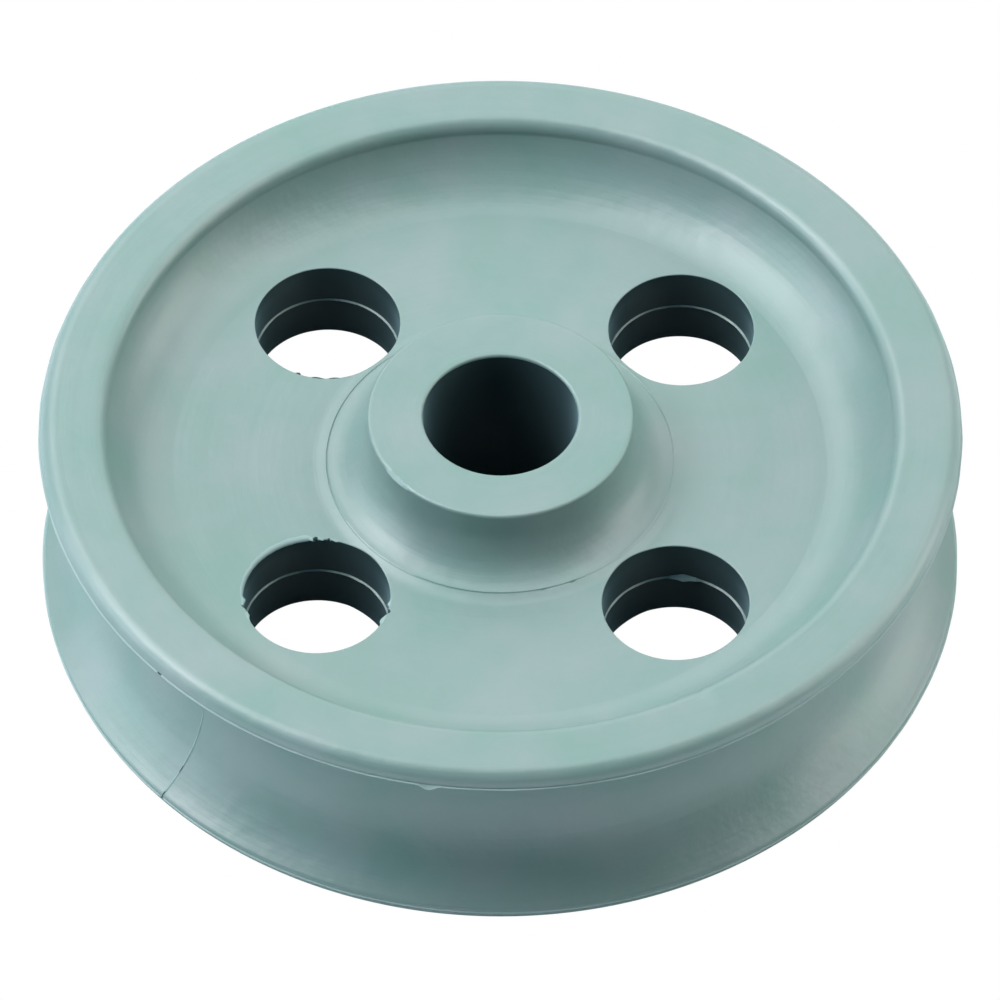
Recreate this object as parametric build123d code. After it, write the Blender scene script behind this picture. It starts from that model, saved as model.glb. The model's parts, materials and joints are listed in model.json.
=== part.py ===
from build123d import *
import math
import os

# Wire rope sheave moulded in one piece: a dished web joins a plain-bored hub to a grooved rim.
#
# Frame: the bore axis is Z, the mid-plane of the wheel is Z = 0 and the origin is the centre of
# the bore. The two sides are alike, so one half section is drawn above the mid-plane and
# mirrored. All sizes are in millimetres.

# Bore and hub
pin_diameter = 12.7             # half inch axle pin
running_clearance = 0.1         # play of the plain bore on its pin
hub_diameter = 22.0
hub_length = 20.0
hub_edge_radius = 0.25          # both edges of the hub's end faces

# Collar where the hub flares into the web
collar_diameter = 28.7          # witness line of the hub insert
collar_height = 0.3             # step of the collar above the web
collar_skirt = 1.05             # width of the slope from the collar down to the web
hub_flare_angle = 8.0           # slope of the hub fillet where it meets the collar, degrees

# Web with its lightening holes
web_thickness = 8.0
hole_count = 4
hole_diameter = 12.1
hole_circle_diameter = 41.7
hole_flash_height = 0.16        # fin left by the two core pins where they meet
hole_flash_width = 0.32

# Dished pocket between web and rim
dish_floor_diameter = 54.0      # where the flat web starts to rise, just outside the holes
dish_start_angle = 6.0          # slope of the dish where it leaves the web, degrees
pocket_diameter = 64.9          # short wall under the rim face
pocket_wall_depth = 1.3         # rim face to the foot of that wall
pocket_edge_radius = 1.0

# Rim and rope groove
outer_diameter = 76.0
rim_width = 18.8
rim_corner_radius = 1.3
parting_land = 0.1              # flat at the widest diameter, where the mould parts
parting_flash_height = 0.08
groove_root_diameter = 66.5
groove_lip_radius = 0.4

# Values that follow from the sizes above
bore_radius = (pin_diameter + running_clearance) / 2
hub_radius = hub_diameter / 2
hub_half = hub_length / 2
web_half = web_thickness / 2
collar_radius = collar_diameter / 2
pocket_radius = pocket_diameter / 2
rim_radius = outer_diameter / 2
rim_half = rim_width / 2
root_radius = groove_root_diameter / 2


def heading(angle):
    """Unit direction at an angle above the radial direction, in the (radius, height) plane."""
    return (math.cos(math.radians(angle)), math.sin(math.radians(angle)))


def rounded(centre, radius, start_angle, turn):
    """Arc of an edge rounding or fillet about its centre."""
    return CenterArc(centre, radius, start_angle, turn)


def hub_section():
    """From the mid-plane in the bore, over the hub face and down the flare to the collar."""
    face_inner = bore_radius + hub_edge_radius
    face_outer = hub_radius - hub_edge_radius
    edge_height = hub_half - hub_edge_radius
    slope = heading(hub_flare_angle)
    flare_radius = (collar_radius - hub_radius) / (1 - slope[1])
    flare_height = web_half + collar_height + flare_radius * slope[0]
    Line((bore_radius, 0), (bore_radius, edge_height))
    rounded((face_inner, edge_height), hub_edge_radius, 180, -90)
    Line((face_inner, hub_half), (face_outer, hub_half))
    rounded((face_outer, edge_height), hub_edge_radius, 90, -90)
    Line((hub_radius, edge_height), (hub_radius, flare_height))
    rounded((hub_radius + flare_radius, flare_height), flare_radius, 180, 90 - hub_flare_angle)


def web_section():
    """From the collar over the flat web and up the dish to the foot of the pocket wall."""
    skirt_end = collar_radius + collar_skirt
    dish_start = dish_floor_diameter / 2
    foot = (pocket_radius, rim_half - pocket_wall_depth)
    Line((collar_radius, web_half + collar_height), (skirt_end, web_half))
    Line((skirt_end, web_half), (dish_start, web_half))
    TangentArc((dish_start, web_half), foot, tangent=heading(dish_start_angle))


def rim_section():
    """From the foot of the pocket wall over the rim face and its corners to the parting line."""
    edge_height = rim_half - pocket_edge_radius
    corner_height = rim_half - rim_corner_radius
    face_inner = pocket_radius + pocket_edge_radius
    face_outer = rim_radius - rim_corner_radius
    land_end = corner_height - parting_land
    crest = (rim_radius + parting_flash_height, corner_height - parting_land / 2)
    Line((pocket_radius, rim_half - pocket_wall_depth), (pocket_radius, edge_height))
    rounded((face_inner, edge_height), pocket_edge_radius, 180, -90)
    Line((face_inner, rim_half), (face_outer, rim_half))
    rounded((face_outer, corner_height), rim_corner_radius, 90, -90)
    Line((rim_radius, corner_height), crest)
    Line(crest, (rim_radius, land_end))


def groove_section():
    """From the parting line over the lip and down the rope groove to its root on the mid-plane.

    The groove is one arc, square to the mid-plane at the root and tangent to the lip.
    """
    lip_height = rim_half - rim_corner_radius - parting_land
    lip_centre = rim_radius - groove_lip_radius
    depth = lip_centre - root_radius
    reach = depth ** 2 + lip_height ** 2 - groove_lip_radius ** 2
    groove_radius = reach / (2 * (rim_radius - root_radius))
    groove_centre = root_radius + groove_radius
    swing = math.degrees(math.atan2(lip_height, groove_centre - lip_centre))
    rounded((lip_centre, lip_height), groove_lip_radius, 0, -swing)
    rounded((groove_centre, 0), groove_radius, 180 - swing, swing)
    Line((root_radius, 0), (bore_radius, 0))


def wheel_blank():
    """The wheel before its web holes: the half section mirrored and turned about the bore."""
    with BuildPart() as blank:
        with BuildSketch(Plane.XZ) as section:
            with BuildLine():
                hub_section()
                web_section()
                rim_section()
                groove_section()
            make_face()
            mirror(about=Plane.XZ)
        revolve(axis=Axis.Z)
    return blank.part


def hole_core():
    """Cutter of one lightening hole, waisted where the core pins meet so that a thin fin stays."""
    radius = hole_diameter / 2
    waist = radius - hole_flash_height
    reach = rim_half
    with BuildPart() as core:
        with BuildSketch(Plane.XZ):
            with BuildLine():
                Polyline(
                    (0, -reach),
                    (radius, -reach),
                    (radius, -hole_flash_width / 2),
                    (waist, 0),
                    (radius, hole_flash_width / 2),
                    (radius, reach),
                    (0, reach),
                    close=True,
                )
            make_face()
        revolve(axis=Axis.Z)
    return core.part


def build_sheave():
    """The finished wheel with its ring of lightening holes, the first on the 45 degree diagonal."""
    first_hole = 180 / hole_count
    sites = PolarLocations(hole_circle_diameter / 2, hole_count, start_angle=first_hole)
    core = hole_core()
    wheel = wheel_blank()
    for site in sites:
        wheel -= core.moved(Location(site.position))
    return wheel


os.makedirs("parts", exist_ok=True)
sheave = build_sheave()
export_step(sheave, "parts/sheave.step")
print("sheave volume", round(sheave.volume, 1), "mm3")
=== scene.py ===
import json
import math

import bmesh
import bpy
from mathutils import Matrix, Vector, noise


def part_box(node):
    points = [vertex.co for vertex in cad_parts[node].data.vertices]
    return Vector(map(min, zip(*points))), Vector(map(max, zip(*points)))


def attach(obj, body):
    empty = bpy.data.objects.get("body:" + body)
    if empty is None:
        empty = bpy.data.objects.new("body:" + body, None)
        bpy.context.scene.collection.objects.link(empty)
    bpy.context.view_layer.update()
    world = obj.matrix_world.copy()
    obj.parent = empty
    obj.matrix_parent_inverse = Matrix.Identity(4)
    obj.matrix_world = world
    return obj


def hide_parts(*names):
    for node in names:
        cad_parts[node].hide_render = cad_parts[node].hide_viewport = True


# Wire rope sheave, one plastic moulding, drawn again from its section with the marks of the
# mould on it. Sizes are in millimetres and angles in degrees until MM turns them into the
# frame's metres. The bore axis is Z and the wheel's mid-plane is Z = 0. Angles round the bore
# start at +X, and so do directions round a hole, which are taken from its own centre.

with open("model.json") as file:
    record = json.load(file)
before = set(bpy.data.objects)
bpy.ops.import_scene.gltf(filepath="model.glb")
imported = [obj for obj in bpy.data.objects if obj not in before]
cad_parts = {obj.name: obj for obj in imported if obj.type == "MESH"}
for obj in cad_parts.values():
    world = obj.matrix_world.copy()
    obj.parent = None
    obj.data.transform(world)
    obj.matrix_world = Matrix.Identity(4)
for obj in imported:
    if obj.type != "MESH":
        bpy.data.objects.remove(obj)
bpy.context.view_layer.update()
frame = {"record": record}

MM = 0.001
NODE = "sheave"
# Smaller than any size here, for comparing numbers that should be equal
TINY = 1e-6

# ---------------------------------------------------------------- sizes of the wheel
axle_bore = next(m for m in frame["record"]["mounts"] if m["name"] == "axle_bore")
bore_radius = axle_bore["dims"]["r_mm"]
hub_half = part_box(NODE)[1].z / MM
widest_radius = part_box(NODE)[1].x / MM

hub_radius = 11.0
hub_edge_radius = 0.25
hub_edge_height = hub_half - hub_edge_radius
collar_radius = 14.35
collar_height = 0.3
collar_skirt = 1.05
skirt_curve = 1.5
flare_angle = 8.0
crease_width = 0.16
crease_depth = 0.07
crease_outside = collar_radius + crease_width / 2
crease_inside = collar_radius - crease_width / 2

web_half = 4.0
hole_count = 4
hole_pitch = 360 / hole_count
first_hole_angle = 45.0
hole_radius = 6.05
hole_circle_radius = 20.85
hole_edge_break = 0.08
edge_raggedness = 0.25
edge_wave = 9
fin_height = 0.14
fin_half_width = 0.10

dish_start_radius = 27.0
dish_start_angle = 6.0
pocket_radius = 32.45
pocket_wall_depth = 1.3
pocket_edge_radius = 1.0

flash_height = 0.08
rim_radius = widest_radius - flash_height
rim_half = 9.4
corner_radius = 1.3
corner_height = rim_half - corner_radius
parting_land = 0.1
groove_top = corner_height - parting_land
root_radius = 33.25
lip_radius = 0.4

# ---------------------------------------------------------------- marks of mould and knife
# A raggedness is a share of what it varies, and a wave is the degrees that one wave takes
# The flash stands a little higher here than in the solid, above a fine crease; the crease is painted dark
# as shade, the flash pale with a painted highlight
flash_reach = 0.12
flash_raggedness = 0.4
flash_wave = 5
flash_stray = 0.03
flash_stray_wave = 9
flash_crease_depth = 0.05
flash_crease_width = 0.07
flash_kink_angle = 262.5
flash_kink_width = 1.5
flash_kink_reach = 0.16
flash_kink_droop = 0.3

# Two mould seams cross the groove, each as a fin whose height varies between two shares of its
# full height, pale with a painted highlight; the flash has a gap at each, painted dark as shade in its
# middle
seam_angles = (44.4, 224.4)
seam_height = 0.12
seam_shares = (0.25, 1.25)
seam_half_width = 0.16
seam_gap_width = 0.5
seam_gap_dark = 0.35
seam_gap_depth = 1.2 * flash_reach
# Heights between which a seam is broken and painted dark as shade
seam_breaks = ((-6.3, -6.0), (-8.0, -7.5))
# The groove's slight unevenness: its depth, and degrees to one broad and one fine wave
sink_depth = 0.03
sink_wave = 7
fine_sink_wave = 3

# A nick in the pocket's upper edge, which takes in the rows this near the rim's face
pocket_nick_angle = 300.6
pocket_nick_width = 1.0
pocket_nick_depth = 0.15
pocket_nick_drop = 0.6

# A facet trimmed on the hub's upper edge, from the first angle to the second; its outer part is pale with
# a painted highlight
hub_chip_angles = (209.5, 229.5)
hub_chip_width = 0.28
hub_chip_drop = 0.32
hub_chip_bulge = 0.04
hub_chip_raggedness = 0.6
hub_chip_wave = 1.6
hub_chip_support = 0.1

# Where the line round the collar shows: middle, half width in degrees, share of its full depth
crease_runs = (
    (157.0, 60.0, 1.0),
    (268.0, 32.0, 0.5),
    (25.0, 45.0, 0.5),
)
crease_rest = 0.12
crease_share_below = 0.5
# Nicks in that line: middle, half width in degrees, extra depth
crease_nicks = (
    (285.6, 1.6, 0.14),
    (295.9, 1.6, 0.14),
)

# One hole's upper edge was trimmed with a knife, between two directions from its centre
trimmed_hole = 225.0
trim_directions = (94.5, 190.0)
trim_width = 0.44
trim_depth = 0.2
trim_raggedness = 0.45
trim_wave = 4
trim_taper = 0.6
trim_fades = (4.0, 12.0)
# Marks at a hole: the hole's angle, direction, half width in degrees, reach into the hole
edge_crumbs = (
    (135.0, 247.7, 3.0, 0.42),
    (135.0, 263.3, 6.5, 0.26),
    (135.0, 276.6, 5.5, 0.22),
    (225.0, 95.0, 2.6, 0.22),
    (225.0, 87.6, 2.6, 0.16),
    (225.0, 76.4, 3.5, 0.10),
    (225.0, 185.0, 4.0, 0.36),
    (225.0, 200.0, 7.0, 0.34),
    (225.0, 336.5, 6.5, 0.40),
    (225.0, 353.5, 3.5, 0.26),
)
crumb_droop = 0.5
torn_reach = 0.05
# The same for nicks, whose reach goes outwards into the web
edge_nicks = (
    (225.0, 82.0, 2.0, 0.12),
    (225.0, 92.0, 2.2, 0.22),
    (225.0, 191.0, 2.4, 0.16),
    (225.0, 345.5, 3.2, 0.22),
)
nick_steepness = 1.5
# Nicks that reach further than this are painted dark as shade
dark_nick_reach = 0.08
fin_lumps = (
    (315.0, 92.5, 5.0, 0.13),
    (315.0, 84.2, 9.0, 0.34),
    (315.0, 75.5, 6.0, 0.15),
)
lump_thickness = 0.8
# Lumps that reach further than this are pale with a painted highlight
pale_highlight_lump_reach = 0.1
fin_raggedness = 0.3
fin_wave = 12
fin_lean = 0.10

# ---------------------------------------------------------------- rows and columns of the mesh
FLARE_STEPS = 10
EDGE_STEPS = 4
BORE_STEPS = 3
DISH_STEPS = 11
POCKET_EDGE_STEPS = 5
FACE_STEPS = 2
CORNER_STEPS = 7
LIP_STEPS = 3
GROOVE_STEPS = 14
RIM_STEPS = 46
HUB_STEPS = 40
GAP_STEPS = 32
KINK_STEPS = 8
SIDE_STEPS = 42
RING_STEPS = 9
SEAM_MARGIN = 0.3
KINK_MARGIN = 0.2
SEAM_STEPS = (-0.9, -0.6, -0.4, -0.28, -0.2, -0.13, -0.07, 0, 0.07, 0.13, 0.2, 0.28, 0.4, 0.6, 0.9)
# Half the angle of a hole's sector, in which the web's columns run towards the hole
hole_sector = 22.0
# Rows set this far from a round keep the shading of the flat beside it even
WALL_SUPPORT = 0.2
FACE_SUPPORT = 0.15
FOOT_SUPPORT = 0.06
SKIRT_SUPPORT = 0.1
# Rows in the middle of the hub's face and at the top of the plain bore
FACE_ROW = 1.1
BORE_ROW = 7.5
# The first and last rows of arcs, in degrees from the arc's ends
FLARE_START = 2.0
DISH_START = 0.9
DISH_STOP = 1.2
LIP_START = 20
GROOVE_START = 1.5
# Turns of a hole's broken edge, and the plain rows of its wall above the mid-plane
EDGE_TURNS = (90, 60, 30, 0)
WALL_ROWS = (2.6, 1.4, 0.6)
# A column's skin is judged this many degrees past its first side
COLUMN_PEEK = 0.03
WELD_DISTANCE = 2e-7
SHARP_ANGLE = 40


# ---------------------------------------------------------------- section of one half
def span(start, stop, steps):
    """Evenly spread numbers, both ends included."""
    return [start + (stop - start) * i / steps for i in range(steps + 1)]


def on_arc(centre, radius, angle):
    """The point at one angle of an arc in the (radius, height) plane."""
    turn = math.radians(angle)
    return (centre[0] + radius * math.cos(turn), centre[1] + radius * math.sin(turn))


def arc(centre, radius, start, stop, steps):
    """Points along an arc, both ends included."""
    return [on_arc(centre, radius, angle) for angle in span(start, stop, steps)]


def line(start, stop, steps):
    """Points along a straight run, both ends included."""
    return list(zip(span(start[0], stop[0], steps), span(start[1], stop[1], steps)))


def joined(*runs):
    """One list of points from runs that follow each other, without repeats."""
    points = []
    for run in runs:
        for point in run:
            if not points or math.dist(point, points[-1]) > TINY:
                points.append(point)
    return points


def mirrored(points):
    """The half section followed by its mirror image below the mid-plane."""
    return points + [(r, -z) for r, z in reversed(points[:-1])]


def web_height(radius):
    """Height of the web's upper face, with the skirt that runs down from the collar."""
    across = (radius - collar_radius) / collar_skirt
    if across >= 1:
        return web_half
    return web_half + collar_height * (1 - max(across, 0)) ** skirt_curve


def hub_profile():
    """From the web's inner edge over the hub face and down the bore to the mid-plane."""
    slope = math.radians(flare_angle)
    flare_radius = (collar_radius - hub_radius) / (1 - math.sin(slope))
    flare_height = web_half + collar_height + flare_radius * math.cos(slope)
    flare_centre = (hub_radius + flare_radius, flare_height)
    flare = arc(flare_centre, flare_radius, 270 - flare_angle - FLARE_START, 180, FLARE_STEPS)
    outer_edge = hub_radius - hub_edge_radius
    inner_edge = bore_radius + hub_edge_radius
    return joined(
        [(crease_outside, web_height(crease_outside))],
        [(collar_radius, web_height(crease_outside) - crease_depth)],
        [(crease_inside, flare[0][1])],
        flare,
        [(hub_radius, hub_edge_height - WALL_SUPPORT)],
        arc((outer_edge, hub_edge_height), hub_edge_radius, 0, 90, EDGE_STEPS),
        [(outer_edge - FACE_SUPPORT, hub_half)],
        [(hub_radius - FACE_ROW, hub_half)],
        [(inner_edge + FACE_SUPPORT, hub_half)],
        arc((inner_edge, hub_edge_height), hub_edge_radius, 90, 180, EDGE_STEPS),
        [(bore_radius, hub_edge_height - WALL_SUPPORT)],
        line((bore_radius, BORE_ROW), (bore_radius, 0), BORE_STEPS),
    )


def dish_arc():
    """Centre, radius and end angles of the arc that is tangent to the dish's start slope."""
    start = (dish_start_radius, web_half)
    foot = (pocket_radius, rim_half - pocket_wall_depth)
    slope = math.radians(dish_start_angle)
    normal = (-math.sin(slope), math.cos(slope))
    chord = (foot[0] - start[0], foot[1] - start[1])
    radius = math.dist(foot, start) ** 2 / (2 * (chord[0] * normal[0] + chord[1] * normal[1]))
    centre = (start[0] + radius * normal[0], start[1] + radius * normal[1])
    end = math.degrees(math.atan2(foot[1] - centre[1], foot[0] - centre[0]))
    return centre, radius, dish_start_angle - 90, end


def groove_arc():
    """Centre radius, arc radius and lip swing of the rope groove, as in the solid."""
    lip_centre = rim_radius - lip_radius
    depth = lip_centre - root_radius
    radius = (depth**2 + groove_top**2 - lip_radius**2) / (2 * (rim_radius - root_radius))
    centre = root_radius + radius
    swing = math.degrees(math.atan2(groove_top, centre - lip_centre))
    return centre, radius, swing


def dish_profile():
    """From the web's outer edge up the dish to the foot of the pocket wall."""
    centre, radius, start, end = dish_arc()
    dish = arc(centre, radius, start, end, DISH_STEPS)
    return joined(
        dish[:1],
        [on_arc(centre, radius, start + DISH_START)],
        dish[1:-1],
        [on_arc(centre, radius, end - DISH_STOP)],
        dish[-1:],
        [(pocket_radius, rim_half - pocket_wall_depth + FOOT_SUPPORT)],
    )


def rim_profile():
    """From the web's outer edge up the dish, over the rim and down the groove to its root."""
    pocket_edge = pocket_radius + pocket_edge_radius
    corner_start = rim_radius - corner_radius
    corner_end = math.degrees(math.asin(flash_crease_width / corner_radius))
    groove_centre, groove_radius, swing = groove_arc()
    return joined(
        dish_profile(),
        arc((pocket_edge, rim_half - pocket_edge_radius), pocket_edge_radius, 180, 90, POCKET_EDGE_STEPS),
        line((pocket_edge + WALL_SUPPORT, rim_half), (corner_start - WALL_SUPPORT, rim_half), FACE_STEPS),
        arc((corner_start, corner_height), corner_radius, 90, corner_end, CORNER_STEPS),
        [(rim_radius - flash_crease_depth, corner_height + flash_crease_width / 3)],
        [(rim_radius + flash_height, corner_height - parting_land / 2)],
        [(rim_radius, groove_top)],
        arc((rim_radius - lip_radius, groove_top), lip_radius, -LIP_START, -swing, LIP_STEPS),
        arc((groove_centre, 0), groove_radius, 180 - swing + GROOVE_START, 180, GROOVE_STEPS),
    )


# ---------------------------------------------------------------- columns round the wheel
def with_finer(angles, finer, margin):
    """Angles that give way to a finer run of them, with a margin either side of it."""
    kept = [a for a in angles if a < finer[0] - margin or a > finer[-1] + margin]
    return sorted(kept + finer)


def sector_angles(middle, steps, seams=()):
    """Angles across one hole's sector, both ends included, closer together at a mould seam."""
    angles = span(middle - hole_sector, middle + hole_sector, steps)
    for seam in seams:
        if abs(seam - middle) < hole_sector:
            angles = with_finer(angles, [seam + step for step in SEAM_STEPS], SEAM_MARGIN)
    return angles


def gap_columns(start, stop):
    """Angles across the web between two holes, both ends included, closer at the flash's kink."""
    angles = span(start, stop, GAP_STEPS)
    if start < flash_kink_angle < stop:
        first = flash_kink_angle - flash_kink_width
        last = flash_kink_angle + flash_kink_width
        angles = with_finer(angles, span(first, last, KINK_STEPS), KINK_MARGIN)
    return angles


hole_angles = [first_hole_angle + hole_pitch * i for i in range(hole_count)]
rim_sectors = [sector_angles(middle, RIM_STEPS, seam_angles) for middle in hole_angles]
hub_sectors = [sector_angles(middle, HUB_STEPS) for middle in hole_angles]
gap_angles = [gap_columns(a + hole_sector, a + hole_pitch - hole_sector) for a in hole_angles]


def all_round(sectors):
    """The sector and gap angles as one ring of columns."""
    ring = []
    for sector, gap in zip(sectors, gap_angles):
        ring += sector + gap[1:-1]
    return ring


def side_radii():
    """Radii of the web's rings, evenly spread in direction as seen from a hole's centre."""
    foot = hole_circle_radius * math.cos(math.radians(hole_sector))
    away = hole_circle_radius * math.sin(math.radians(hole_sector))
    first = math.atan2(crease_outside + SKIRT_SUPPORT - foot, away)
    last = math.atan2(dish_start_radius - FACE_SUPPORT - foot, away)
    radii = [foot + away * math.tan(t) for t in span(first, last, SIDE_STEPS - 2)]
    return [crease_outside] + radii + [dish_start_radius]


# ---------------------------------------------------------------- mesh
# Skins: moulded plastic; painted shade, near black, in the bore, the holes' walls and small crevices;
# pale plastic with a painted highlight on flash, seams, lumps and cut places
MOULDED = 0
PAINTED_SHADE = 1
PALE_HIGHLIGHT = 2


def at(radius, angle, height):
    """A point of the wheel in metres."""
    turn = math.radians(angle)
    return Vector((radius * math.cos(turn), radius * math.sin(turn), height)) * MM


class Shell:
    """Grids of points that are welded into one closed mesh."""

    def __init__(self):
        self.mesh = bmesh.new()

    def grid(self, rows, closed, skin=None):
        """Quads between neighbouring rows, with a skin picked for each strip and column."""
        made = [[self.mesh.verts.new(point) for point in row] for row in rows]
        for strip, (upper, lower) in enumerate(zip(made, made[1:])):
            for i in range(len(upper) if closed else len(upper) - 1):
                j = (i + 1) % len(upper)
                face = self.mesh.faces.new((upper[i], upper[j], lower[j], lower[i]))
                face.material_index = skin(strip, i) if skin else MOULDED

    def finish(self, name):
        """One object, welded, with its faces turned outwards and smooth between sharp edges."""
        bmesh.ops.remove_doubles(self.mesh, verts=self.mesh.verts, dist=WELD_DISTANCE)
        bmesh.ops.recalc_face_normals(self.mesh, faces=self.mesh.faces)
        data = bpy.data.meshes.new(name)
        self.mesh.to_mesh(data)
        self.mesh.free()
        data.shade_smooth()
        data.set_sharp_from_angle(angle=math.radians(SHARP_ANGLE))
        made = bpy.data.objects.new(name, data)
        bpy.context.scene.collection.objects.link(made)
        return made


def waver(angle, step, track):
    """Smooth chance variation from -1 to 1 round a ring, about one wave to every step degrees.

    Each track is a ring of its own, so that marks on different tracks vary on their own.
    """
    turn = math.radians(angle)
    reach = 180 / (math.pi * step)
    return noise.noise(Vector((math.cos(turn) * reach, math.sin(turn) * reach, track)))


def apart(angle, other):
    """Degrees between two angles, the short way round."""
    return abs((angle - other + 180) % 360 - 180)


def hump(value, middle, half_width):
    """1 in the middle, falling smoothly to 0 at half_width on either side."""
    offset = min(abs(value - middle) / half_width, 1)
    return (1 - offset * offset) ** 2


# ---------------------------------------------------------------- rim and groove
def in_groove(radius, height):
    """Whether a point of the rim lies outside the groove's root and between its two lips."""
    return radius > root_radius - TINY and abs(height) <= groove_top + TINY


def flash_crest(angle, height):
    """The crest of the flash: ragged, kinked at one place and cut back where a seam meets it."""
    side = 1 if height > 0 else -1
    ragged = 1 + flash_raggedness * waver(angle, flash_wave, side)
    kink = hump(angle, flash_kink_angle, flash_kink_width) if side > 0 else 0
    gap = max(hump(angle, seam, seam_gap_width) for seam in seam_angles)
    reach = flash_reach * ragged + flash_kink_reach * kink
    stray = flash_stray * waver(angle, flash_stray_wave, 4 * side) - flash_kink_droop * kink
    return rim_radius + reach * (1 - seam_gap_depth / flash_reach * gap), height + stray


def groove_radius_at(radius, angle, height):
    """The groove's radius with its slight unevenness and the ragged fin of each mould seam."""
    inside = 1 - (height / groove_top) ** 2
    broad = waver(angle, sink_wave, height * 0.25)
    fine = waver(angle, fine_sink_wave, 9 + height * 0.5)
    radius += sink_depth * inside * (broad + 0.5 * fine)
    least, most = seam_shares
    middling = (least + most) / 2
    for seam in seam_angles:
        ragged = middling + (most - middling) * noise.noise(Vector((seam, 0, height * 1.3)))
        radius += seam_height * ragged * max(0, 1 - abs(angle - seam) / seam_half_width)
    return radius


def marked_rim(radius, angle, height):
    """A point of the dish, rim or groove, moved by the mark there."""
    if radius > rim_radius + flash_height / 2:
        return flash_crest(angle, height)
    if in_groove(radius, height):
        return groove_radius_at(radius, angle, height), height
    near_face = height > rim_half - pocket_nick_drop
    if near_face and radius < pocket_radius + pocket_edge_radius + FACE_SUPPORT:
        height -= pocket_nick_depth * hump(angle, pocket_nick_angle, pocket_nick_width)
    return radius, height


# ---------------------------------------------------------------- hub and collar
def crease_at(angle):
    """Depth of the line round the collar, which comes and goes."""
    share = max(most * hump(apart(angle, middle), 0, half) for middle, half, most in crease_runs)
    nicks = sum(depth * hump(angle, middle, half) for middle, half, depth in crease_nicks)
    return crease_depth * min(crease_rest + share, 1) + nicks


def hub_cut(angle):
    """How far the trimmed facet on the hub's upper edge is cut at this angle, from 0 to 1."""
    start, stop = hub_chip_angles
    return hump(angle, (start + stop) / 2, (stop - start) / 2) ** 0.5


def hub_facet(radius, angle, height):
    """Where a point of the hub's upper edge lies once the facet is fully cut."""
    edge_centre = hub_radius - hub_edge_radius
    width = hub_chip_width * (0.9 + hub_chip_raggedness * waver(angle, hub_chip_wave, 20))
    along = min(math.atan2(height - hub_edge_height, radius - edge_centre) / (math.pi / 2), 1)
    facet_radius = hub_radius + hub_chip_bulge - (hub_chip_bulge + width) * along
    if radius < edge_centre - TINY:
        facet_radius -= hub_chip_support
    return facet_radius, hub_half - hub_chip_drop * (1 - along)


def marked_hub(radius, angle, height):
    """A point of the hub or bore, with the line round the collar and the trimmed facet."""
    if abs(radius - collar_radius) < TINY:
        if height > 0:
            return radius, height + crease_depth - crease_at(angle)
        return radius, height - crease_depth * (1 - crease_share_below)
    cut = hub_cut(angle)
    face_end = hub_radius - hub_edge_radius - 2 * FACE_SUPPORT
    if cut == 0 or height < hub_edge_height - TINY or radius < face_end:
        return radius, height
    facet_radius, facet_height = hub_facet(radius, angle, height)
    return radius + (facet_radius - radius) * cut, height + (facet_height - height) * cut


def turned_skin(radius, angle, height):
    """The skin of the hub, bore, rim or groove at a point; flash, seams and cut plastic are pale with a
    painted highlight, while the bore, the crease above the flash and the seams' gaps and breaks are
    painted dark as shade.
    """
    from_seam = min(apart(angle, seam) for seam in seam_angles)
    above_flash = abs(height) - corner_height
    if radius < bore_radius + TINY:
        return PAINTED_SHADE
    if radius > rim_radius:
        return PAINTED_SHADE if from_seam < seam_gap_dark and height > 0 else PALE_HIGHLIGHT
    if radius > rim_radius - flash_crease_depth and 0 < above_flash < flash_crease_width:
        return PAINTED_SHADE
    if radius < hub_radius and height > hub_edge_height and hub_cut(angle) > 0.5:
        return PALE_HIGHLIGHT if radius > hub_radius - hub_edge_radius else MOULDED
    if in_groove(radius, height) and from_seam < seam_half_width:
        broken = any(low < height < high for low, high in seam_breaks)
        return PAINTED_SHADE if broken and from_seam < seam_half_width / 2 else PALE_HIGHLIGHT
    return MOULDED


def add_turned(shell, profile, ring, mark):
    """A profile turned about the bore axis, with its points moved by the marks on it."""
    rows = []
    for r, z in profile:
        row = []
        for a in ring:
            radius, height = mark(r, a, z)
            row.append(at(radius, a, height))
        rows.append(row)

    def skin(strip, column):
        """The skin at the middle of a face."""
        (upper, top), (lower, bottom) = profile[strip : strip + 2]
        return turned_skin((upper + lower) / 2, ring[column] + COLUMN_PEEK, (top + bottom) / 2)

    shell.grid(rows, closed=True, skin=skin)


# ---------------------------------------------------------------- web and holes
def add_gap(shell, gap, side):
    """The plain web between two holes, on the upper (side 1) or lower (side -1) face."""
    shell.grid([[at(r, a, side * web_height(r)) for a in gap] for r in side_radii()], closed=False)


def sector_outline(rim_sector, hub_sector):
    """(radius, angle) round one hole's sector: outer edge, side, inner edge, side."""
    outer = [(dish_start_radius, a) for a in rim_sector]
    inner = [(crease_outside, a) for a in reversed(hub_sector)]
    radii = side_radii()[1:-1]
    leaving = [(r, rim_sector[-1]) for r in reversed(radii)]
    returning = [(r, rim_sector[0]) for r in radii]
    return outer + leaving + inner + returning


def mark_at(marks, hole, direction):
    """Depth of the marks in a table at one direction from a hole's centre."""
    depth = 0
    for marked, middle, half_width, reach in marks:
        if marked == hole:
            depth += reach * hump(direction, middle, half_width)
    return depth


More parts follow.
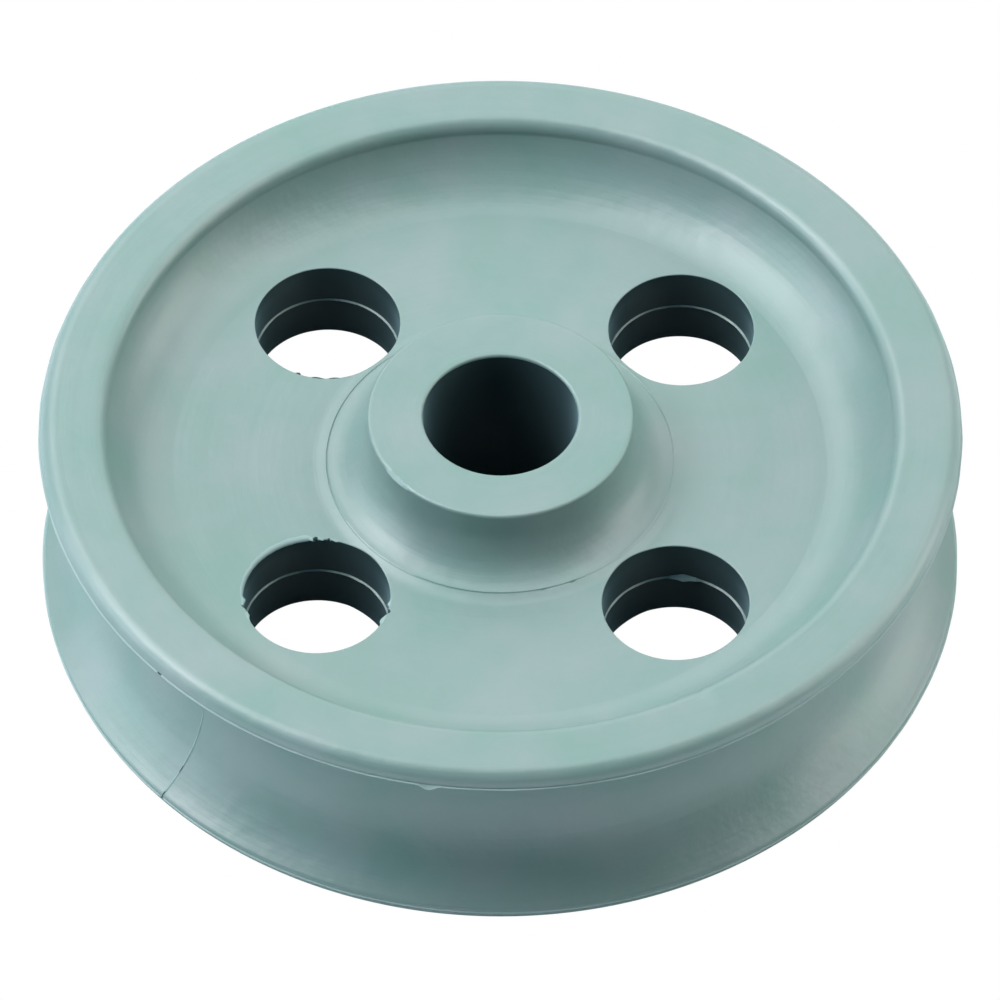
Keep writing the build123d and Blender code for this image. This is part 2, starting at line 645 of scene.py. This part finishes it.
def edge_break(hole, direction, side):
    """Width and depth of a hole's broken edge; one was trimmed with a knife on the upper side."""
    width = hole_edge_break * (1 + edge_raggedness * waver(direction, edge_wave, hole + side))
    depth = width
    if side > 0:
        nick = mark_at(edge_nicks, hole, direction)
        width += nick
        depth += nick_steepness * nick
        start, stop = trim_directions
        if hole == trimmed_hole and start < direction < stop:
            along = (direction - start) / (stop - start)
            ragged = 1 + trim_raggedness * waver(direction, trim_wave, 31)
            fade_in, fade_out = trim_fades
            cut = min((direction - start) / fade_in, (stop - direction) / fade_out, 1)
            width += cut * trim_width * (1 - trim_taper * along) * ragged
            depth += cut * trim_depth * ragged
    return width, depth


def edge_skin(hole, direction):
    """The skin of a hole's upper edge: painted dark as shade in a nick and on torn crumbs, pale with a
    painted highlight where the trimmed hole was cut or torn.
    """
    if mark_at(edge_nicks, hole, direction) > dark_nick_reach:
        return PAINTED_SHADE
    torn = mark_at(edge_crumbs, hole, direction) > torn_reach
    if hole == trimmed_hole:
        start, stop = trim_directions
        return PALE_HIGHLIGHT if torn or start < direction < stop else MOULDED
    return PAINTED_SHADE if torn else MOULDED


class Hole:
    """One lightening hole, with a column of points for each point of its sector's outline."""

    def __init__(self, middle, rim_sector, hub_sector):
        self.middle = middle
        self.centre = at(hole_circle_radius, middle, 0) / MM
        self.outline = [at(r, a, 0) / MM for r, a in sector_outline(rim_sector, hub_sector)]
        self.bearings = []
        for p in self.outline:
            self.bearings.append(math.atan2(p.y - self.centre.y, p.x - self.centre.x))
        self.directions = [math.degrees(b) % 360 for b in self.bearings]
        self.lumps = [mark_at(fin_lumps, middle, d) for d in self.directions]

    def level(self, radii, heights):
        """A row round the hole at given heights above the mid-plane."""
        row = []
        for b, radius, height in zip(self.bearings, radii, heights):
            x = self.centre.x + radius * math.cos(b)
            y = self.centre.y + radius * math.sin(b)
            row.append(Vector((x, y, height)) * MM)
        return row

    def below_face(self, radii, side, drops):
        """A row round the hole, each point this far inside the web's face."""
        row = []
        for b, radius, drop in zip(self.bearings, radii, drops):
            x = self.centre.x + radius * math.cos(b)
            y = self.centre.y + radius * math.sin(b)
            row.append(Vector((x, y, side * (web_height(math.hypot(x, y)) - drop))) * MM)
        return row

    def web_rows(self, side, breaks):
        """Rows over the web's face, from the hole's broken edge out to the sector's outline."""
        rows = []
        for t in span(0, 1, RING_STEPS):
            eased = t * t * (3 - 2 * t)
            row = []
            for b, (width, _), outside in zip(self.bearings, breaks, self.outline):
                edge = self.centre + Vector((math.cos(b), math.sin(b), 0)) * (hole_radius + width)
                p = edge.lerp(outside, eased)
                row.append(Vector((p.x, p.y, side * web_height(math.hypot(p.x, p.y)))) * MM)
            rows.append(row)
        return rows

    def wall_rows(self, side, breaks):
        """Rows over the broken edge, with its crumbs, and down the wall to the fin's foot."""
        crumbs = [mark_at(edge_crumbs, self.middle, d) if side > 0 else 0 for d in self.directions]
        rows = []
        for turn in EDGE_TURNS:
            lean = math.radians(turn)
            out, down = 1 - math.cos(lean), 1 - math.sin(lean)
            hangs = math.sin(2 * lean) ** 2
            radii = [hole_radius + w * out - c * hangs for (w, d), c in zip(breaks, crumbs)]
            drops = [d * down + crumb_droop * c * hangs for (w, d), c in zip(breaks, crumbs)]
            rows.append(self.below_face(radii, side, drops))
        plain = [hole_radius] * len(self.bearings)
        for height in WALL_ROWS:
            rows.append(self.level(plain, [side * height] * len(self.bearings)))
        feet = [side * (fin_half_width + lump_thickness * lump) for lump in self.lumps]
        rows.append(self.level(plain, feet))
        return rows

    def fin_crest(self):
        """The row along the crest of the fin, half way down the hole."""
        radii = []
        for d, lump in zip(self.directions, self.lumps):
            ragged = 1 + fin_raggedness * waver(d, fin_wave, self.middle)
            ragged += fin_lean * math.cos(math.radians(d))
            radii.append(hole_radius - fin_height * ragged - lump)
        return self.level(radii, [0] * len(radii))

    def wall_skin(self, strip, column):
        """The skin of one face of the wall: broken edge, wall, fin, wall, broken edge; the wall is
        painted dark as shade, a large lump on the fin pale with a painted highlight.
        """
        edge = len(EDGE_TURNS) - 1
        fin = edge + len(WALL_ROWS) + 1
        from_end = min(strip, 2 * fin + 1 - strip)
        if strip < edge:
            return edge_skin(self.middle, self.directions[column])
        if from_end == fin and self.lumps[column] > pale_highlight_lump_reach:
            return PALE_HIGHLIGHT
        return PAINTED_SHADE if edge <= from_end < fin else MOULDED


def add_hole(shell, hole):
    """The web round one hole on both faces, and the hole's wall with its fin."""
    walls = []
    for side in (1, -1):
        breaks = [edge_break(hole.middle, d, side) for d in hole.directions]
        shell.grid(hole.web_rows(side, breaks), closed=True)
        walls.append(hole.wall_rows(side, breaks))
    upper, lower = walls
    shell.grid(upper + [hole.fin_crest()] + lower[::-1], closed=True, skin=hole.wall_skin)


def build_wheel():
    """The whole moulding as one mesh."""
    shell = Shell()
    add_turned(shell, mirrored(rim_profile()), all_round(rim_sectors), marked_rim)
    add_turned(shell, mirrored(hub_profile()), all_round(hub_sectors), marked_hub)
    for gap in gap_angles:
        for side in (1, -1):
            add_gap(shell, gap, side)
    for middle, rim_sector, hub_sector in zip(hole_angles, rim_sectors, hub_sectors):
        add_hole(shell, Hole(middle, rim_sector, hub_sector))
    return shell.finish("sheave_moulding")


# ---------------------------------------------------------------- materials
def new_material(name):
    """An empty node material and its output node."""
    material = bpy.data.materials.new(name)
    material.use_nodes = True
    material.node_tree.nodes.clear()
    output = material.node_tree.nodes.new("ShaderNodeOutputMaterial")
    return material, material.node_tree, output


def add_colour(tree, shader, dark, light):
    """Soft cloudy colour between two near shades, as in a moulding whose pigment is not quite even."""
    place = tree.nodes.new("ShaderNodeTexCoord")
    clouds = tree.nodes.new("ShaderNodeTexNoise")
    clouds.inputs["Scale"].default_value = 130.0
    clouds.inputs["Detail"].default_value = 4.0
    ramp = tree.nodes.new("ShaderNodeValToRGB")
    ramp.color_ramp.elements[0].position = 0.3
    ramp.color_ramp.elements[0].color = dark
    ramp.color_ramp.elements[1].position = 0.7
    ramp.color_ramp.elements[1].color = light
    tree.links.new(place.outputs["Object"], clouds.inputs["Vector"])
    tree.links.new(clouds.outputs["Fac"], ramp.inputs["Fac"])
    tree.links.new(ramp.outputs["Color"], shader.inputs["Base Color"])
    return place


def new_plastic(name, roughness, specular, dark, light):
    """A plastic skin in cloudy colour: its material, tree, shader and texture coordinates."""
    material, tree, output = new_material(name)
    shader = tree.nodes.new("ShaderNodeBsdfPrincipled")
    shader.inputs["Roughness"].default_value = roughness
    shader.inputs["IOR"].default_value = 1.5
    shader.inputs["Specular IOR Level"].default_value = specular
    tree.links.new(shader.outputs["BSDF"], output.inputs["Surface"])
    place = add_colour(tree, shader, dark, light)
    return material, tree, shader, place


def add_grain(tree, shader, vector, scale, depth, under=None):
    """Fine unevenness as bump, on top of the bump node below it if there is one."""
    grain = tree.nodes.new("ShaderNodeTexNoise")
    grain.inputs["Scale"].default_value = scale
    grain.inputs["Detail"].default_value = 4.0
    bump = tree.nodes.new("ShaderNodeBump")
    bump.inputs["Strength"].default_value = 1.0
    bump.inputs["Distance"].default_value = depth * MM
    tree.links.new(vector, grain.inputs["Vector"])
    tree.links.new(grain.outputs["Fac"], bump.inputs["Height"])
    if under:
        tree.links.new(under.outputs["Normal"], bump.inputs["Normal"])
    tree.links.new(bump.outputs["Normal"], shader.inputs["Normal"])
    return bump


def turned_vector(tree, place):
    """Radius, height and a little of the place, so that noise read by it runs in rings."""
    split = tree.nodes.new("ShaderNodeSeparateXYZ")
    flat = tree.nodes.new("ShaderNodeCombineXYZ")
    radius = tree.nodes.new("ShaderNodeVectorMath")
    radius.operation = "LENGTH"
    small = tree.nodes.new("ShaderNodeVectorMath")
    small.operation = "SCALE"
    small.inputs["Scale"].default_value = 0.03
    ringed = tree.nodes.new("ShaderNodeCombineXYZ")
    both = tree.nodes.new("ShaderNodeVectorMath")
    both.operation = "ADD"
    tree.links.new(place.outputs["Object"], split.inputs["Vector"])
    tree.links.new(split.outputs["X"], flat.inputs["X"])
    tree.links.new(split.outputs["Y"], flat.inputs["Y"])
    tree.links.new(flat.outputs["Vector"], radius.inputs[0])
    tree.links.new(flat.outputs["Vector"], small.inputs[0])
    tree.links.new(radius.outputs["Value"], ringed.inputs["X"])
    tree.links.new(split.outputs["Z"], ringed.inputs["Z"])
    tree.links.new(ringed.outputs["Vector"], both.inputs[0])
    tree.links.new(small.outputs["Vector"], both.inputs[1])
    return both.outputs["Vector"]


def moulded_material():
    """Grey-green moulded plastic with a satin skin."""
    dark, light = (0.184, 0.306, 0.280, 1), (0.246, 0.322, 0.320, 1)
    material, tree, shader, place = new_plastic("moulded_skin", 0.40, 1.0, dark, light)
    waves = add_grain(tree, shader, place.outputs["Object"], 160.0, 0.14)
    grain = add_grain(tree, shader, place.outputs["Object"], 700.0, 0.035, waves)
    add_grain(tree, shader, turned_vector(tree, place), 1400.0, 0.035, grain)
    return material


def painted_shade_material():
    """Painted shade: a near-black base colour stands in for the shade in the bore, the holes' walls and
    small crevices, with a teal sheen and a smoother gloss.
    """
    dark, light = (0.034, 0.060, 0.065, 1), (0.040, 0.068, 0.073, 1)
    material, tree, shader, place = new_plastic("cored_skin", 0.30, 0.2, dark, light)
    shader.inputs["Sheen Weight"].default_value = 0.6
    shader.inputs["Sheen Roughness"].default_value = 0.3
    shader.inputs["Sheen Tint"].default_value = (0.55, 0.88, 1.0, 1)
    add_grain(tree, shader, place.outputs["Object"], 300.0, 0.004)
    return material


def pale_highlight_material():
    """Thin flash and freshly cut plastic, paler and duller than the moulded skin; the paleness is partly
    the plastic's own and partly a painted highlight on these edges and ridges.
    """
    dark, light = (0.29, 0.41, 0.40, 1), (0.36, 0.48, 0.47, 1)
    material, tree, shader, place = new_plastic("pale_skin", 0.5, 0.6, dark, light)
    add_grain(tree, shader, place.outputs["Object"], 900.0, 0.03)
    return material


# ---------------------------------------------------------------- studio
# The camera is placed in millimetres, and the softboxes and the floor in metres
CAMERA_AZIMUTH = 271.18
CAMERA_ELEVATION = 50.12
CAMERA_ROLL = 0.177
CAMERA_DISTANCE = 1199.5
SENSOR_WIDTH = 36.0
FOCAL_LENGTH = 523.55
AIM_HEIGHT = 8.64
AIM_RIGHT = -0.03
AIM_UP = -6.152
LIGHT_DISTANCE = 0.8
FLOOR_RADIUS = 3.0
FLOOR_GAP = 0.02

WHITE = (1, 1, 1, 1)
COOL_WHITE = (0.94, 0.985, 1.0)
COLD_WHITE = (0.80, 0.94, 1.0)
SOFT_WHITE = (0.96, 1.0, 0.98)
WARM_WHITE = (0.98, 1.0, 0.93)
GREEN_WHITE = (0.76, 1.0, 0.95)
BLUE = (0.1, 0.5, 1.0)


def outward(azimuth, elevation):
    """Unit vector towards a place in the studio."""
    turn, rise = math.radians(azimuth), math.radians(elevation)
    return Vector((math.cos(rise) * math.cos(turn), math.cos(rise) * math.sin(turn), math.sin(rise)))


def add_camera():
    """A long lens, aimed a little in front of the hub."""
    back = outward(CAMERA_AZIMUTH, CAMERA_ELEVATION)
    level = Vector((0, 0, 1)).cross(back).normalized()
    upright = back.cross(level)
    roll = math.radians(CAMERA_ROLL)
    right = level * math.cos(roll) + upright * math.sin(roll)
    up = upright * math.cos(roll) - level * math.sin(roll)
    aim = Vector((0, 0, AIM_HEIGHT)) + right * AIM_RIGHT + up * AIM_UP
    place = (aim + back * CAMERA_DISTANCE) * MM
    data = bpy.data.cameras.new("camera")
    data.sensor_width = SENSOR_WIDTH
    data.lens = FOCAL_LENGTH
    data.clip_start = 0.05
    data.clip_end = 20.0
    camera = bpy.data.objects.new("camera", data)
    bpy.context.scene.collection.objects.link(camera)
    turned = Matrix((right, up, back)).transposed().to_4x4()
    camera.matrix_world = Matrix.Translation(place) @ turned
    bpy.context.scene.camera = camera


def add_softbox(name, azimuth, elevation, width, height, brightness, colour):
    """A rectangular area light that faces the wheel, placed by its angles from the camera's side."""
    data = bpy.data.lights.new(name, "AREA")
    data.shape = "RECTANGLE"
    data.size = width
    data.size_y = height
    data.energy = math.pi * width * height * brightness
    data.color = colour
    lamp = bpy.data.objects.new(name, data)
    bpy.context.scene.collection.objects.link(lamp)
    back = outward(CAMERA_AZIMUTH + azimuth, elevation)
    level = Vector((0, 0, 1)).cross(back).normalized()
    turned = Matrix((level, back.cross(level), back)).transposed().to_4x4()
    lamp.matrix_world = Matrix.Translation(back * LIGHT_DISTANCE) @ turned


def show_to_camera(tree, seen, lit, output):
    """The camera sees the first shader, and everything else meets the second."""
    path = tree.nodes.new("ShaderNodeLightPath")
    mix = tree.nodes.new("ShaderNodeMixShader")
    tree.links.new(path.outputs["Is Camera Ray"], mix.inputs["Fac"])
    tree.links.new(lit.outputs[0], mix.inputs[1])
    tree.links.new(seen.outputs[0], mix.inputs[2])
    tree.links.new(mix.outputs["Shader"], output.inputs["Surface"])


def floor_material():
    """White studio sweep: plain white to look at, a cool pale reflector for the wheel."""
    material, tree, output = new_material("studio_floor")
    seen = tree.nodes.new("ShaderNodeEmission")
    seen.inputs["Color"].default_value = WHITE
    seen.inputs["Strength"].default_value = 1.0
    bounce = tree.nodes.new("ShaderNodeBsdfDiffuse")
    bounce.inputs["Color"].default_value = (0.76, 0.80, 0.84, 1)
    show_to_camera(tree, seen, bounce, output)
    return material


def add_floor():
    """A round white floor under the hub's lower face."""
    mesh = bmesh.new()
    bmesh.ops.create_circle(mesh, cap_ends=True, segments=96, radius=FLOOR_RADIUS)
    data = bpy.data.meshes.new("floor")
    mesh.to_mesh(data)
    mesh.free()
    floor = bpy.data.objects.new("floor", data)
    floor.location.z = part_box(NODE)[0].z - FLOOR_GAP * MM
    bpy.context.scene.collection.objects.link(floor)
    data.materials.append(floor_material())


def light_world():
    """White beyond the floor, and a little even light."""
    world = bpy.data.worlds.new("studio")
    world.use_nodes = True
    tree = world.node_tree
    tree.nodes.clear()
    output = tree.nodes.new("ShaderNodeOutputWorld")
    seen = tree.nodes.new("ShaderNodeBackground")
    seen.inputs["Color"].default_value = WHITE
    lit = tree.nodes.new("ShaderNodeBackground")
    lit.inputs["Color"].default_value = (0.4, 0.8, 1.0, 1)
    lit.inputs["Strength"].default_value = 0.05
    show_to_camera(tree, seen, lit, output)
    bpy.context.scene.world = world


# ---------------------------------------------------------------- the scene
wheel = build_wheel()
wheel.data.materials.append(moulded_material())
wheel.data.materials.append(painted_shade_material())
wheel.data.materials.append(pale_highlight_material())
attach(wheel, "root")
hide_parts(NODE)

add_floor()
light_world()
add_softbox("top_light", 180, 66, 0.35, 0.34, 1.1, GREEN_WHITE)
add_softbox("back_light", 180, 30, 1.38, 0.52, 1.4, SOFT_WHITE)
add_softbox("left_back_light", -150, 45, 0.24, 0.25, 2.2, COOL_WHITE)
add_softbox("left_top_light", -120, 62, 0.33, 0.40, 5.3, COOL_WHITE)
add_softbox("left_crown_light", -135, 70, 0.12, 0.20, 0.6, COLD_WHITE)
add_softbox("left_mid_light", -105, 35, 0.23, 0.22, 2.7, COOL_WHITE)
add_softbox("left_high_light", -90, 50, 0.30, 0.28, 9.5, COOL_WHITE)
add_softbox("left_low_light", -90, 16, 0.56, 0.40, 3.5, COLD_WHITE)
add_softbox("left_edge_light", -75, 33, 0.21, 0.22, 1.1, COLD_WHITE)
add_softbox("left_front_light", -45, 45, 0.41, 0.34, 0.4, BLUE)
add_softbox("right_edge_light", 75, 30, 0.22, 0.22, 1.3, SOFT_WHITE)
add_softbox("right_high_light", 90, 45, 0.32, 0.28, 3.6, SOFT_WHITE)
add_softbox("right_low_light", 95, 13, 0.57, 0.34, 3.0, WARM_WHITE)
add_softbox("right_mid_light", 105, 28, 0.25, 0.22, 2.5, SOFT_WHITE)
add_softbox("right_top_light", 120, 62, 0.33, 0.40, 3.3, SOFT_WHITE)
add_camera()
bpy.context.scene.view_settings.view_transform = "Standard"
